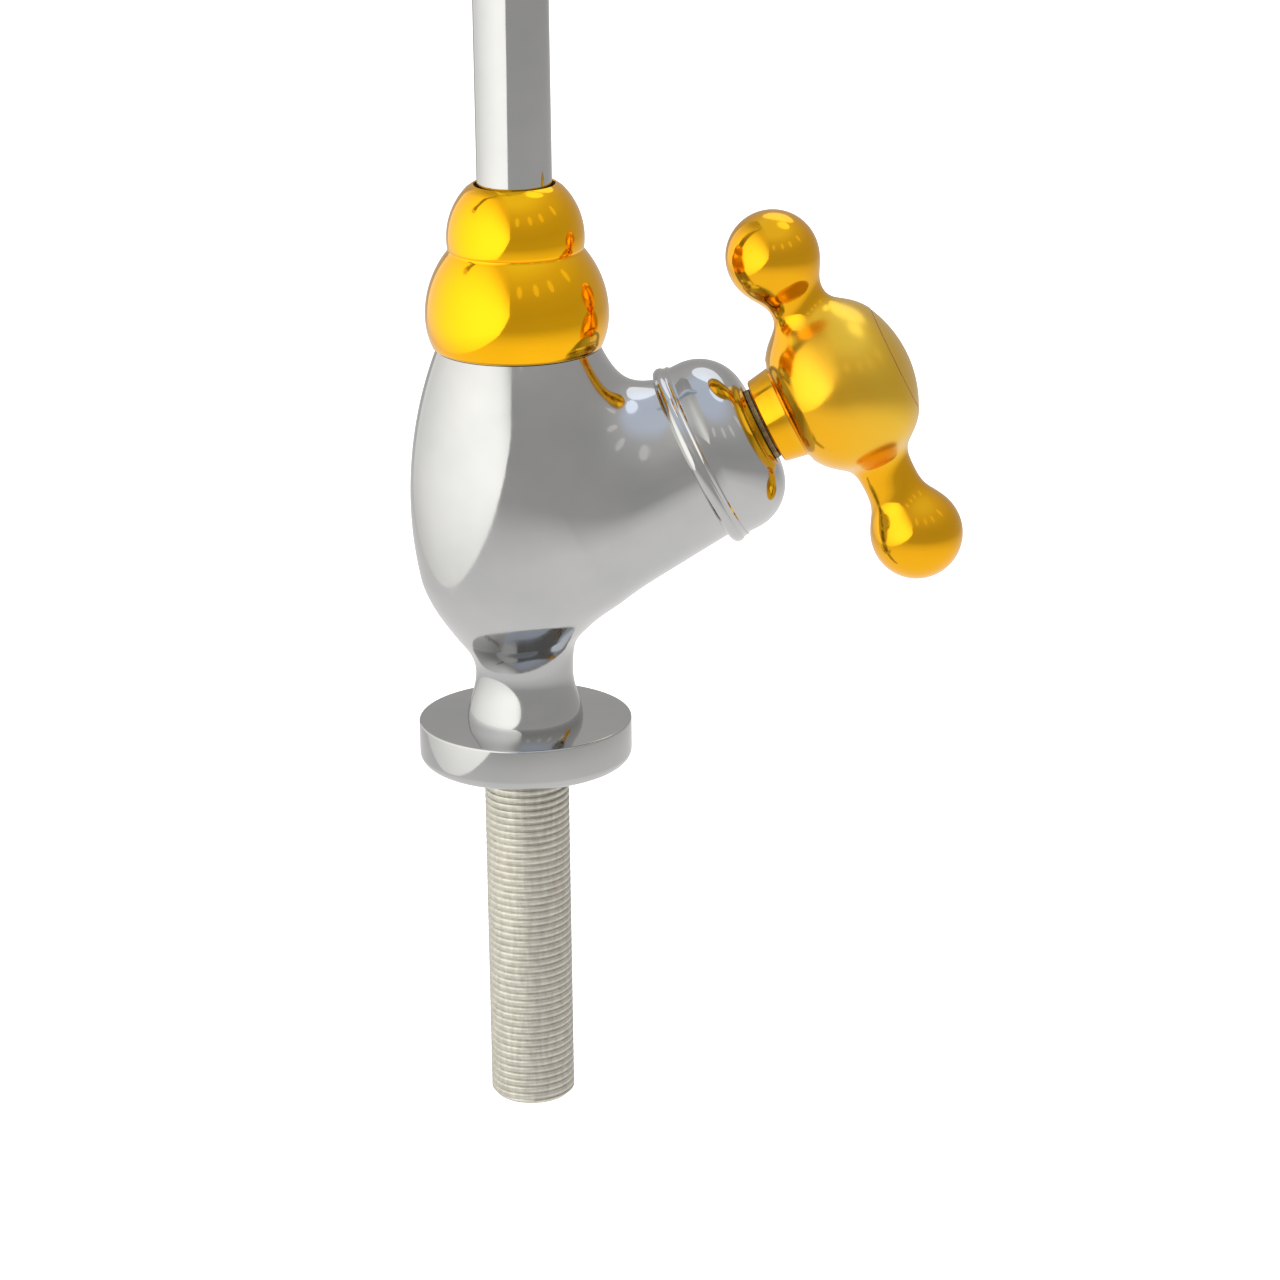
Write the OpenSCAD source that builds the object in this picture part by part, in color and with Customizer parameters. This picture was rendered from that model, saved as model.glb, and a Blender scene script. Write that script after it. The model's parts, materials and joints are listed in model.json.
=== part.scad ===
// Deck-mounted pillar tap with an inclined compression valve, a two-ball handle
// and a swivelling gooseneck spout on a G1/2 threaded shank.
// The origin is the centre of the flange's underside, where it meets the deck.
// +Z runs up the body, and the valve branch leans towards +X.

/* [Shank and flange] */
// Major radius of the G1/2 pipe thread
shank_r = 10.478; // [10.478:0.001:10.48]
// Length of the shank below the deck face
shank_length = 90; // [60:5:120]
// Radius of the waterway in the shank and neck
inlet_r = 6.5; // [5:0.5:7]
// Radius of the deck flange
flange_r = 26.25; // [25:0.25:30]
// Thickness of the deck flange
flange_h = 10.7; // [10.3:0.1:11]

/* [Body] */
// Narrowest radius of the neck
neck_r = 12; // [12:0.25:12.5]
// Largest radius of the vase-shaped body
vase_r = 26.8; // [26:0.2:28]
// Height of the body's largest radius
vase_z = 67.2; // [65:0.2:69]
// Height of the shoulder that carries the collar
shoulder_z = 104.6; // [103:0.2:106]
// Wall thickness of the casting
wall = 3; // [2.5:0.25:3.25]

/* [Valve] */
// Tilt of the valve axis above the deck, in degrees
valve_tilt = 26; // [24:1:28]
// Height at which the valve axis meets the body axis
valve_z = 55.6; // [55.2:0.2:56.2]
// Distance along the valve axis to the mouth of the branch
mouth_w = 48.3; // [48:0.1:49]
// Radius of the branch at its mouth
mouth_r = 20.3; // [20:0.1:20.5]
// Radius of the thread between headworks and branch
headworks_r = 13.2; // [13:0.1:13.5]

/* [Handle] */
// Distance from the valve axis to the centre of the upper ball
upper_reach = 36; // [35:0.5:42]
// Distance from the valve axis to the centre of the lower ball
lower_reach = 42; // [35:0.5:43]
// Lean of the upper arm towards the body, in degrees
upper_lean = 1.9; // [0:0.1:2.5]
// Radius of each ball
ball_r = 11.3; // [10:0.1:12]
// Narrowest radius of each arm
arm_r = 6.7; // [6:0.1:7]
// Largest radius of the hub
hub_r = 20.7; // [20:0.1:21.5]

/* [Spout] */
// Outer radius of the spout tube
tube_r = 9; // [9:0.05:9.1]
// Wall thickness of the spout tube
tube_wall = 1; // [0.8:0.1:1.2]
// Radius of the gooseneck bend, along the middle of the tube
bend_r = 65; // [60:1:80]
// Height of the centre of the bend
bend_z = 242; // [236:1:280]
// Length of the straight outlet leg
outlet_leg = 24; // [22:1:26]

/* [Hidden] */
$fn = 96;
eps = 0.5;                          // overshoot of cutting tools
fit = 0.05;                         // radial running clearance

neck_z = 22.7;                      // height of the narrowest neck
foot_r = neck_r + 2.3;              // radius of the neck's foot on the flange
bend_point = [neck_r + 4.3, neck_z + 9.1]; // where the outline turns from hollow to full
vase_arc = 101;                     // radius of the body's long side curve
bowl_z = neck_z + 24.5;             // where the bowl runs into the side curve
shank_top = 17;                     // top of the shank inside the neck
spigot_r = 9.7;                     // shank above the deck, held in the flange and neck
boss_r = 15;                        // collar thread on top of the body
boss_top = shoulder_z + 11.6;
socket_r = 12 + fit;                // bore in which the spout turns
socket_z = 97;                      // bottom of that bore

seat_w = 14;                        // face of the valve seat along the valve axis
seat_r = 9.5;
chamber_r = mouth_r - wall - 0.3;   // cavity of the branch
thread_w = 34;                      // inner end of the headworks thread
cover_w = mouth_w + 16.9;           // front face of the bonnet cover
cover_dome = 11.8;                  // radius of the cover's rounded shoulder
barrel_r = 9;                       // headworks barrel that carries the cover
barrel_w = cover_w + 0.8;
spindle_r = 7;                      // operating thread of the spindle
spindle_w = 31;                     // inner end of the spindle
stem_r = 4.5;                       // plain stem that passes the gland
gland_r = 6.5;                      // packing chamber
gland_w = 60;                       // bottom of the packing chamber
square_w = 74;                      // start of the square drive
square = 7;                         // width of the square drive

skirt_w = mouth_w + 18.2;           // open end of the handle skirt
hub_w = mouth_w + 38.6;             // widest point of the hub, level with the arms
hub_half = 16.4;                    // half-length of the hub's barrel
cap_w = mouth_w + 52.8;             // seat of the index cap
cap_r = 13.1;
cap_sphere = 28.7;                  // radius of the cap's dome
screw_r = 2.5;

collar_lower_r = 22.1;              // largest radius of the collar's lower bead
collar_lower_z = shoulder_z + 8.1;
collar_waist_z = shoulder_z + 23.9;
collar_upper_r = 16.55;             // largest radius of the collar's upper bead
collar_upper_z = shoulder_z + 26.8;
collar_top_z = shoulder_z + 39.9;
collar_hole_r = tube_r + 0.7;
ferrule_flange_r = 13.6;
ferrule_flange_h = 4;
outlet_z = bend_z - outlet_leg;     // end of the spout tube
aerator_r = 11.6;
aerator_h = 15;

// Points of a cubic curve between a and d, with handles b and c
function curve(a, b, c, d, n) =
    [for (i = [0:n]) let (t = i / n, s = 1 - t)
        s * s * s * a + 3 * s * s * t * b + 3 * s * t * t * c + t * t * t * d];

// Points of an arc about centre c, from angle a0 to a1
function arc(c, r, a0, a1, n) =
    [for (i = [0:n]) let (a = a0 + (a1 - a0) * i / n) c + r * [cos(a), sin(a)]];

// Radius of the body's side curve at height z
function side_r(z) = vase_r - vase_arc + sqrt(vase_arc * vase_arc - (z - vase_z) * (z - vase_z));

// Outline of neck and bowl, from the flange to the end of the side curve
function neck_points() = concat(
    curve([foot_r, flange_h], [foot_r, flange_h + 4], [neck_r, neck_z - 5], [neck_r, neck_z], 8),
    curve([neck_r, neck_z], [neck_r, neck_z + 4], bend_point - [2.1, 2.6], bend_point, 8),
    curve(bend_point, bend_point + [2.1, 3], [side_r(bowl_z) - 1.6, bowl_z - 6.5],
        [side_r(bowl_z), bowl_z], 8));

// Outline of the side curve from z0 to z1
function side_points(z0, z1, n) = [for (i = [0:n]) let (z = z0 + (z1 - z0) * i / n) [side_r(z), z]];

// Outline of the hub's full-bellied barrel
hub_power = 2.3;
hub_core = 3.5;
function hub_radius(u) =
    hub_core + (hub_r - hub_core) * pow(1 - pow(abs(u) / hub_half, hub_power), 1 / hub_power);

// Places children on the valve axis, with local +Z along it
module on_valve(w = 0) {
    translate([0, 0, valve_z]) rotate([0, 90 - valve_tilt, 0]) translate([0, 0, w]) children();
}

// Ring between two heights
module ring(r_out, r_in, z0, z1) {
    difference() {
        translate([0, 0, z0]) cylinder(r = r_out, h = z1 - z0);
        translate([0, 0, z0 - eps]) cylinder(r = r_in, h = z1 - z0 + 2 * eps);
    }
}

// Ring with a round section
module o_ring(r, section, z) {
    translate([0, 0, z]) rotate_extrude() translate([r, 0]) circle(r = section, $fn = 24);
}

// Vase-shaped outside, with the threaded boss on top
module vase() {
    rotate_extrude() polygon(concat([[0, flange_h]], neck_points(),
        side_points(bowl_z + 4, shoulder_z, 12),
        [[boss_r, shoulder_z], [boss_r, boss_top - 1], [boss_r - 1, boss_top], [0, boss_top]]));
}

// Cavity of the vase, closing to the spout socket at the top
module vase_cavity() {
    rotate_extrude() polygon(concat([[0, 33], [12, 34], [18, 39]],
        [for (p = side_points(bowl_z, socket_z - 8, 8)) [p[0] - wall, p[1]]],
        [[socket_r - 1.5, socket_z], [0, socket_z]]));
}

// Conical branch outside, a little wider towards the body
module branch() {
    on_valve() cylinder(r1 = mouth_r + 4.6, r2 = mouth_r, h = mouth_w);
}

// Cast web that fills the corner between vase and branch
module branch_web() {
    hull() {
        translate([0, 0, 84]) cylinder(r = 20, h = 14, $fn = 32);
        on_valve(mouth_w - 10) cylinder(r = mouth_r - 0.3, h = 7, $fn = 32);
    }
}

// Duct of radius r that carries the water from z0 in the neck to w1 at the seat
module inlet_duct(r, z0, w1) {
    bend = 4;                       // each leg runs on past the corner
    step = 0.4;                     // the leg at the seat is a little narrower
    translate([0, 0, z0]) cylinder(r = r, h = valve_z + bend - z0);
    on_valve(-bend) cylinder(r = r - step, h = w1 + bend);
}

module body_casting() {
    color("silver") difference() {
        union() {
            difference() {
                union() { vase(); branch(); branch_web(); }
                vase_cavity();
                on_valve() cylinder(r = chamber_r, h = thread_w);
            }
            inlet_duct(seat_r, 29, seat_w);
        }
        inlet_duct(inlet_r, flange_h - eps, seat_w + eps);
        on_valve(thread_w - eps) cylinder(r = headworks_r, h = mouth_w - thread_w + 2 * eps);
        translate([0, 0, socket_z]) cylinder(r = socket_r, h = boss_top - socket_z + eps);
        translate([0, 0, socket_z - 8]) cylinder(r = socket_r - 3, h = 8 + eps);
        translate([0, 0, flange_h - eps]) cylinder(r = spigot_r, h = shank_top - flange_h + eps);
    }
}

// G1/2 thread below the deck, with a plain spigot above it
module threaded_shank() {
    chamfer = 1.3;
    color("lightgray") difference() {
        union() {
            cylinder(r = spigot_r, h = shank_top);
            translate([0, 0, chamfer - shank_length]) cylinder(r = shank_r, h = shank_length - chamfer);
            translate([0, 0, -shank_length]) cylinder(r1 = shank_r - chamfer, r2 = shank_r, h = chamfer);
        }
        translate([0, 0, -shank_length - eps]) cylinder(r = inlet_r, h = shank_length + shank_top + 2 * eps);
    }
}

// Heavy disc with a rounded lower edge and a recess for the gasket
module base_flange() {
    edge = 2.5;
    color("silver") difference() {
        rotate_extrude() polygon(concat(
            [[spigot_r, 0]],
            arc([flange_r - edge, edge], edge, -90, 0, 8),
            [[flange_r, flange_h - 0.4], [flange_r - 0.4, flange_h], [spigot_r, flange_h]]));
        translate([0, 0, -eps]) ring(20, 14, 0, 2 + eps);
    }
}

module base_gasket() {
    color("dimgray") ring(20, 14, 0, 2);
}

// Screwed valve bonnet: thread, collar, spanner hexagon and barrel
module headworks_body() {
    color("goldenrod") on_valve() difference() {
        union() {
            translate([0, 0, thread_w + 2]) cylinder(r = headworks_r, h = mouth_w - thread_w);
            translate([0, 0, mouth_w + 1]) cylinder(r = 17, h = 1.5);
            translate([0, 0, mouth_w + 2]) cylinder(r = 16.2, h = 6.5, $fn = 6);
            translate([0, 0, mouth_w + 8]) cylinder(r = barrel_r, h = barrel_w - mouth_w - 8);
        }
        translate([0, 0, thread_w]) cylinder(r = spindle_r + fit, h = 24);
        translate([0, 0, 50]) cylinder(r = stem_r + fit, h = 20);
        translate([0, 0, gland_w]) cylinder(r = gland_r, h = 10);
    }
}

module headworks_washer() {
    color("firebrick") on_valve() ring(16.5, headworks_r, mouth_w, mouth_w + 1);
}

// Bell-shaped cover with a beaded rim, screwed on the headworks barrel
module bonnet_cover() {
    skin = 1.4;
    bead = 1.65;
    rim_r = mouth_r + 0.35;
    barrel_out = 22.1;
    color("silver") on_valve(mouth_w) rotate_extrude() polygon(concat(
        [[rim_r, -bead]],
        arc([23.2 - bead, 0], bead, -90, 60, 8),
        [[barrel_out, 2.6]],
        arc([barrel_out - cover_dome, 16.9 - cover_dome], cover_dome, 0, 90, 12),
        [[barrel_r, 16.9], [barrel_r, 16.9 - 3], [barrel_out - cover_dome, 16.9 - 3]],
        arc([barrel_out - cover_dome, 16.9 - cover_dome], cover_dome - skin, 85, 0, 10),
        [[rim_r, 1]]));
}

module gland_packing() {
    color("white") on_valve() ring(gland_r, stem_r + fit, gland_w, gland_w + 3);
}

module gland_nut() {
    color("goldenrod") on_valve() difference() {
        union() {
            translate([0, 0, gland_w + 3]) cylinder(r = gland_r, h = barrel_w - gland_w - 3);
            translate([0, 0, barrel_w]) cylinder(r = 8.2, h = 2.6, $fn = 6);
        }
        translate([0, 0, gland_w]) cylinder(r = stem_r + fit, h = 20);
    }
}

// Plate that carries the seat washer, with its guide stem and stud
module jumper() {
    plate_w = seat_w + 3;
    color("goldenrod") on_valve() {
        translate([0, 0, seat_w - 3]) cylinder(r = 2, h = plate_w - seat_w + 3.1);
        translate([0, 0, plate_w]) cylinder(r = 9.4, h = 2.5);
        translate([0, 0, plate_w + 2]) cylinder(r = 5.5, h = spindle_w - plate_w - 2.05);
        translate([0, 0, spindle_w - 1]) cylinder(r = 3, h = 8);
    }
}

module seat_washer() {
    color("black") on_valve() ring(8.8, 2, seat_w, seat_w + 3);
}

module jumper_nut() {
    color("goldenrod") on_valve(seat_w - 2.6) difference() {
        cylinder(r = 4, h = 2.6, $fn = 6);
        translate([0, 0, -eps]) cylinder(r = 2, h = 4);
    }
}

// Rising spindle: operating thread, stem and square drive
module spindle() {
    color("goldenrod") on_valve() difference() {
        union() {
            translate([0, 0, spindle_w]) cylinder(r = spindle_r, h = 21);
            translate([0, 0, spindle_w + 20]) cylinder(r = stem_r, h = square_w - spindle_w - 20);
            translate([-square / 2, -square / 2, square_w - 1]) cube([square, square, 16]);
        }
        translate([0, 0, spindle_w - eps]) cylinder(r = 3 + fit, h = 9);
        translate([0, 0, square_w]) cylinder(r = screw_r, h = 16);
    }
}

// One arm along local +Z: waisted neck running into a ball, whose centre is at reach
module arm(reach) {
    join = 48;                      // where the neck meets the ball, in degrees off its axis
    ball_in = [ball_r * sin(join), reach - ball_r * cos(join)];
    rotate_extrude() polygon(concat(
        [[0, 8], [arm_r + 3, 8]],
        curve([arm_r + 3, 17], [arm_r + 0.6, 19], [arm_r, 20.5], [arm_r, 22.5], 6),
        curve([arm_r, 22.5], [arm_r, 25], ball_in - [1.5, 2], ball_in, 6),
        arc([0, reach], ball_r, join - 84, 90, 16)));
}

module handle() {
    color("gold") on_valve() difference() {
        union() {
            rotate_extrude() polygon(concat(
                [[0, skirt_w], [10.75, skirt_w], [11.6, skirt_w + 5.6]],
                [for (i = [0:20]) let (u = -hub_half * 0.86 + hub_half * 1.72 * i / 20)
                    [hub_radius(u), hub_w + u]],
                [[cap_r, cap_w], [0, cap_w]]));
            translate([0, 0, hub_w]) rotate([0, -90 - upper_lean, 0]) arm(upper_reach);
            translate([0, 0, hub_w]) rotate([0, 90, 0]) arm(lower_reach);
        }
        translate([0, 0, skirt_w - eps]) cylinder(r = 9.4, h = 7 + eps);
        translate([0, 0, skirt_w]) cylinder(r = stem_r + 0.3, h = square_w - skirt_w);
        translate([-square / 2, -square / 2, square_w - eps]) cube([square, square, 20]);
        translate([0, 0, square_w + 15]) cylinder(r = 9, h = 20);
    }
}

module handle_screw() {
    color("silver") on_valve(square_w) {
        translate([0, 0, 4]) cylinder(r = screw_r, h = 12);
        difference() {
            translate([0, 0, 15]) cylinder(r = 5, h = 3.2);
            translate([-4, -0.6, 17]) cube([8, 1.2, 2]);
        }
    }
}

// Domed cap with a short spigot pressed into the hub
module index_cap() {
    dome_h = cap_sphere - sqrt(cap_sphere * cap_sphere - cap_r * cap_r);
    half = asin(cap_r / cap_sphere);
    color("gold") on_valve(cap_w) rotate_extrude() polygon(concat(
        [[0, -4], [9, -4], [9, 0], [cap_r, 0]],
        arc([0, dome_h - cap_sphere], cap_sphere, 90 - half, 90, 8)));
}

// Two-bead collar nut, screwed on the boss; its lip keeps the spout in
module spout_collar() {
    lower_arc = 18;
    upper_arc = 24.2;
    top_arc = 17.3;
    lip = 5;
    function on_arc(r, rho, dz) = r - rho + sqrt(rho * rho - dz * dz);
    rise = collar_waist_z - collar_lower_z;
    crown = collar_top_z - 0.6 - collar_upper_z;
    color("gold") rotate_extrude() polygon(concat(
        [[boss_r, shoulder_z]],
        [for (i = [0:6]) let (dz = (shoulder_z - collar_lower_z) * (1 - i / 6))
            [on_arc(collar_lower_r, lower_arc, dz), collar_lower_z + dz]],
        [for (i = [1:10]) let (dz = rise * i / 10)
            [on_arc(collar_lower_r, upper_arc, dz), collar_lower_z + dz]],
        [for (i = [0:10]) let (dz = collar_waist_z + 0.4 - collar_upper_z
            + (crown - collar_waist_z - 0.4 + collar_upper_z) * i / 10)
            [on_arc(collar_upper_r, top_arc, dz), collar_upper_z + dz]],
        [[collar_hole_r + 0.5, collar_top_z], [collar_hole_r, collar_top_z - 0.5],
         [collar_hole_r, boss_top + ferrule_flange_h + 1.1], [boss_r, boss_top + ferrule_flange_h + 1.1]]));
}

module slide_washer() {
    z = boss_top + ferrule_flange_h;
    color("white") ring(ferrule_flange_r, collar_hole_r, z + 0.05, z + 1.05);
}

// Bush brazed on the tube: a flange to hold it down and two grooves for rings
module spout_ferrule() {
    color("goldenrod") difference() {
        union() {
            translate([0, 0, socket_z + 0.1]) cylinder(r = socket_r - fit, h = boss_top - socket_z);
            translate([0, 0, boss_top + 0.05]) cylinder(r = ferrule_flange_r, h = ferrule_flange_h - 0.05);
        }
        translate([0, 0, socket_z + 1.6]) cylinder(r = tube_r, h = 40);
        translate([0, 0, socket_z - 1]) cylinder(r = tube_r - tube_wall, h = 10);
        for (z = [socket_z + 5, socket_z + 12]) ring(socket_r + 1, socket_r - 1.75, z - 1.1, z + 1.1);
    }
}

module swivel_o_rings() {
    color("black") for (z = [socket_z + 5, socket_z + 12]) o_ring(socket_r - 0.9, 0.85, z);
}

// Tube of the spout as a solid rod of radius r, for the outside or the bore
module gooseneck(r, extra = 0) {
    foot = socket_z + 1.6 - extra;
    translate([0, 0, foot]) cylinder(r = r, h = bend_z - foot);
    translate([-bend_r, 0, bend_z]) rotate([90, 0, 0]) rotate_extrude(angle = 180)
        translate([bend_r, 0]) circle(r = r);
    translate([-2 * bend_r, 0, outlet_z - extra]) cylinder(r = r, h = outlet_leg + extra);
}

module spout_tube() {
    color("silver") difference() {
        gooseneck(tube_r);
        gooseneck(tube_r - tube_wall, eps);
    }
}

module aerator_housing() {
    lip_r = 9.4;
    color("silver") translate([-2 * bend_r, 0, outlet_z + 8 - aerator_h]) rotate_extrude() polygon([
        [lip_r, 0], [aerator_r - 0.8, 0], [aerator_r, 0.8], [aerator_r, aerator_h - 1.2],
        [aerator_r - 1.2, aerator_h], [tube_r, aerator_h], [tube_r, 7], [10.2, 6.9], [10.2, 1.2], [lip_r, 1.2]]);
}

module aerator_washer() {
    color("black") translate([-2 * bend_r, 0, outlet_z]) ring(10.2, 7.2, -1.5, -0.1);
}

// Perforated flow-forming insert
module aerator_insert() {
    color("gainsboro") translate([-2 * bend_r, 0, outlet_z]) difference() {
        translate([0, 0, -5.8]) cylinder(r = 10.2, h = 4.3);
        translate([0, 0, -4.6]) cylinder(r = 8.4, h = 4);
        for (a = [0:60:300]) rotate(a) translate([5.2, 0, -7]) cylinder(r = 1.2, h = 4, $fn = 16);
        translate([0, 0, -7]) cylinder(r = 1.2, h = 4, $fn = 16);
    }
}

body_casting();
threaded_shank();
base_flange();
base_gasket();
headworks_body();
headworks_washer();
bonnet_cover();
gland_packing();
gland_nut();
jumper();
seat_washer();
jumper_nut();
spindle();
handle();
handle_screw();
index_cap();
spout_collar();
slide_washer();
spout_ferrule();
swivel_o_rings();
spout_tube();
aerator_housing();
aerator_washer();
aerator_insert();
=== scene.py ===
import bpy
import json
import math
import numpy as np
from mathutils import Matrix, Vector


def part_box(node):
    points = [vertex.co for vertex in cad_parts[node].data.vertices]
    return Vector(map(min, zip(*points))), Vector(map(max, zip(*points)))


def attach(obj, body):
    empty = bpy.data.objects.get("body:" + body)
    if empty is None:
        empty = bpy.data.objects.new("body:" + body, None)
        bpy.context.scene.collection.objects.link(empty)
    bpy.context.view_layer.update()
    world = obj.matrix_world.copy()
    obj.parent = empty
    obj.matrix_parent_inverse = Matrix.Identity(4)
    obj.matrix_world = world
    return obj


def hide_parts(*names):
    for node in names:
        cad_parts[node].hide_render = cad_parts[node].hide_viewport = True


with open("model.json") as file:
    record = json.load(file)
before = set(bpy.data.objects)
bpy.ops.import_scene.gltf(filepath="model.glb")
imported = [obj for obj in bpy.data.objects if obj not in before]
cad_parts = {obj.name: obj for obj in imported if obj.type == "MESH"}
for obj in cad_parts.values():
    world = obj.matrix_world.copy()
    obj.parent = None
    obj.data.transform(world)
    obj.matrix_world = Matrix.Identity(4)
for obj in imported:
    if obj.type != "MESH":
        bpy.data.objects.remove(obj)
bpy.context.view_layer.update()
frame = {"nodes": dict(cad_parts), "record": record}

# ---------------------------------------------------------------- camera
# A long lens a metre away, looking down on the tap from the handle's side,
# with the top of the riser and the gooseneck above the frame.
camera_data = bpy.data.cameras.new("camera")
camera_data.lens = 113.16
camera_data.sensor_width = 36
camera_data.clip_start = 0.01
camera = bpy.data.objects.new("camera", camera_data)
camera.location = (0, -0.93993, 0.33971)
camera.rotation_euler = (math.radians(71.758), math.radians(0.634), math.radians(-1.948))
bpy.context.scene.collection.objects.link(camera)
bpy.context.scene.camera = camera

# ---------------------------------------------------------------- studio
# A pale floor well below the hanging shank and a tall cream panel along the left, with
# cool softboxes overhead and behind, four small warm ones on the right and a white backdrop.
FLOOR_Z = -0.42
AIM = Vector((0, 0, 0.1))
PANEL_MIDDLE, PANEL_HEIGHT, PANEL_FOOT = 0.36, 1.6, -0.47
CORNER_RISE, CORNER_SPAN = 0.36, 0.98


def around(azimuth, rise, distance):
    """A place at an angle to the right of the lens and above the level, seen from the tap."""
    turn, lift = math.radians(azimuth), math.radians(rise)
    return AIM + distance * Vector((math.sin(turn) * math.cos(lift), -math.cos(turn) * math.cos(lift),
                                    math.sin(lift)))


def glow_material(name, base, colour, strength):
    """A matt material that gives off an even light of its own."""
    material = bpy.data.materials.new(name)
    material.use_nodes = True
    shader = material.node_tree.nodes["Principled BSDF"]
    shader.inputs["Base Color"].default_value = (*base, 1)
    shader.inputs["Roughness"].default_value = 0.9
    shader.inputs["Emission Color"].default_value = (*colour, 1)
    shader.inputs["Emission Strength"].default_value = strength
    return material


def light_box(name, place, size, radiance, colour):
    """An oval softbox of even radiance that faces the tap."""
    data = bpy.data.lights.new(name, "AREA")
    data.shape = "ELLIPSE"
    data.size, data.size_y = size
    data.energy = radiance * math.pi * math.pi / 4 * size[0] * size[1]
    data.color = colour
    box = bpy.data.objects.new(name, data)
    box.location = place
    box.rotation_euler = (AIM - place).to_track_quat("-Z", "Y").to_euler()
    box.visible_camera = False
    bpy.context.scene.collection.objects.link(box)


bpy.ops.object.select_all(action="DESELECT")
bpy.ops.mesh.primitive_plane_add(size=60, location=(0, 0, FLOOR_Z))
floor = bpy.context.object
floor.name = "floor"
floor.data.materials.append(glow_material("floor_paper", (0.8, 0.8, 0.79), (1, 1, 1), 1.0))
floor.visible_glossy = False

near_edge = around(-9.5, 0, 0.95)
far_edge = around(-150, 0, 0.75)
middle = (near_edge + far_edge) / 2
heading = math.atan2(far_edge.y - near_edge.y, far_edge.x - near_edge.x)
bpy.ops.mesh.primitive_grid_add(x_subdivisions=24, y_subdivisions=1, size=1,
                                location=(middle.x, middle.y, PANEL_MIDDLE),
                                rotation=(math.radians(90), 0, heading))
panel = bpy.context.object
panel.name = "cream_panel"
panel.scale = ((far_edge - near_edge).length, PANEL_HEIGHT, 1)
bpy.ops.object.transform_apply(location=False, rotation=False, scale=True)
half_width = (far_edge - near_edge).length / 2
for vertex in panel.data.vertices:
    if vertex.co.y < 0:
        corner = max(0, 1 - (vertex.co.x + half_width) / CORNER_SPAN)
        vertex.co.y = PANEL_FOOT + CORNER_RISE * corner ** 2.3
cream = glow_material("panel_cloth", (0, 0, 0), (1.0, 0.99, 0.94), 1.0)
cloth = cream.node_tree.nodes
place = cloth.new("ShaderNodeTexCoord")
split = cloth.new("ShaderNodeSeparateXYZ")
cream.node_tree.links.new(place.outputs["Object"], split.inputs["Vector"])


def fade(source, start, end, low, high):
    """Eases a length across the panel from low at start to high at end."""
    slide = cloth.new("ShaderNodeMapRange")
    slide.interpolation_type = "SMOOTHSTEP"
    for socket, value in zip(("From Min", "From Max", "To Min", "To Max"), (start, end, low, high)):
        slide.inputs[socket].default_value = value
    cream.node_tree.links.new(source, slide.inputs["Value"])
    return slide.outputs["Result"]


def times(one, other):
    """The product of two of the panel's fades."""
    product = cloth.new("ShaderNodeMath")
    product.operation = "MULTIPLY"
    cream.node_tree.links.new(one, product.inputs[0])
    cream.node_tree.links.new(other, product.inputs[1])
    return product.outputs["Value"]


def mix_node(nodes, kind):
    """A new mix node's factor, first and second sockets, and its result."""
    blend = nodes.new("ShaderNodeMix")
    blend.data_type = kind
    factor, first, second = [end for end in blend.inputs if end.enabled]
    result = [end for end in blend.outputs if end.enabled][0]
    return factor, first, second, result


near_fade = fade(split.outputs["X"], -0.8, -0.3, 0.82, 1.0)
side_fade = fade(split.outputs["X"], -0.15, 0.55, 1.85, 1.05)
low_fade = fade(split.outputs["Y"], -0.5, -0.3, 0.78, 1.0)
top_fade = fade(split.outputs["Y"], -0.2, 0.45, 1.0, 0.42)
glow = times(times(side_fade, near_fade), times(low_fade, top_fade))
cream.node_tree.links.new(glow, cloth["Principled BSDF"].inputs["Emission Strength"])
panel.data.materials.append(cream)
panel.visible_camera = False

light_box("overhead_cool", around(110, 66, 1.2), (0.45, 0.45), 0.75, (0.84, 0.91, 1.0))
for number, azimuth in enumerate((4, 29, 53, 86)):
    light_box(f"strip_{number}", around(azimuth, 35, 1.1), (0.12, 0.26), 0.27, (1.0, 0.95, 0.86))
light_box("back_window", around(160, 50, 1.3), (0.95, 0.75), 0.85, (0.86, 0.92, 1.0))

world = bpy.data.worlds.new("studio")
world.use_nodes = True
bpy.context.scene.world = world
sky = world.node_tree.nodes
direction = sky.new("ShaderNodeTexCoord")
height = sky.new("ShaderNodeSeparateXYZ")
level = sky.new("ShaderNodeMapRange")
level.inputs["From Min"].default_value = -1
ramp = sky.new("ShaderNodeValToRGB")
stops = ramp.color_ramp.elements
stops[0].position, stops[0].color = 0.04, (1.0, 0.99, 0.97, 1)
stops[1].position, stops[1].color = 0.95, (0.8, 0.87, 1.0, 1)
for position, grey in ((0.13, 1.0), (0.24, 0.95), (0.337, 0.77), (0.42, 0.52), (0.56, 0.49),
                       (0.68, 0.52), (0.85, 0.66)):
    stops.new(position).color = (grey, grey * 0.985, grey * 0.96, 1)
tie = world.node_tree.links.new
tie(direction.outputs["Generated"], height.inputs[0])
tie(height.outputs["Z"], level.inputs["Value"])
tie(level.outputs["Result"], ramp.inputs["Fac"])
seen = sky.new("ShaderNodeLightPath")
is_backdrop, surroundings, backdrop, mixed = mix_node(sky, "RGBA")
tie(seen.outputs["Is Camera Ray"], is_backdrop)
tie(ramp.outputs["Color"], surroundings)
backdrop.default_value = (0.98, 0.98, 0.98, 1)
tie(mixed, sky["Background"].inputs["Color"])
bpy.context.scene.view_settings.view_transform = "Standard"

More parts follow.
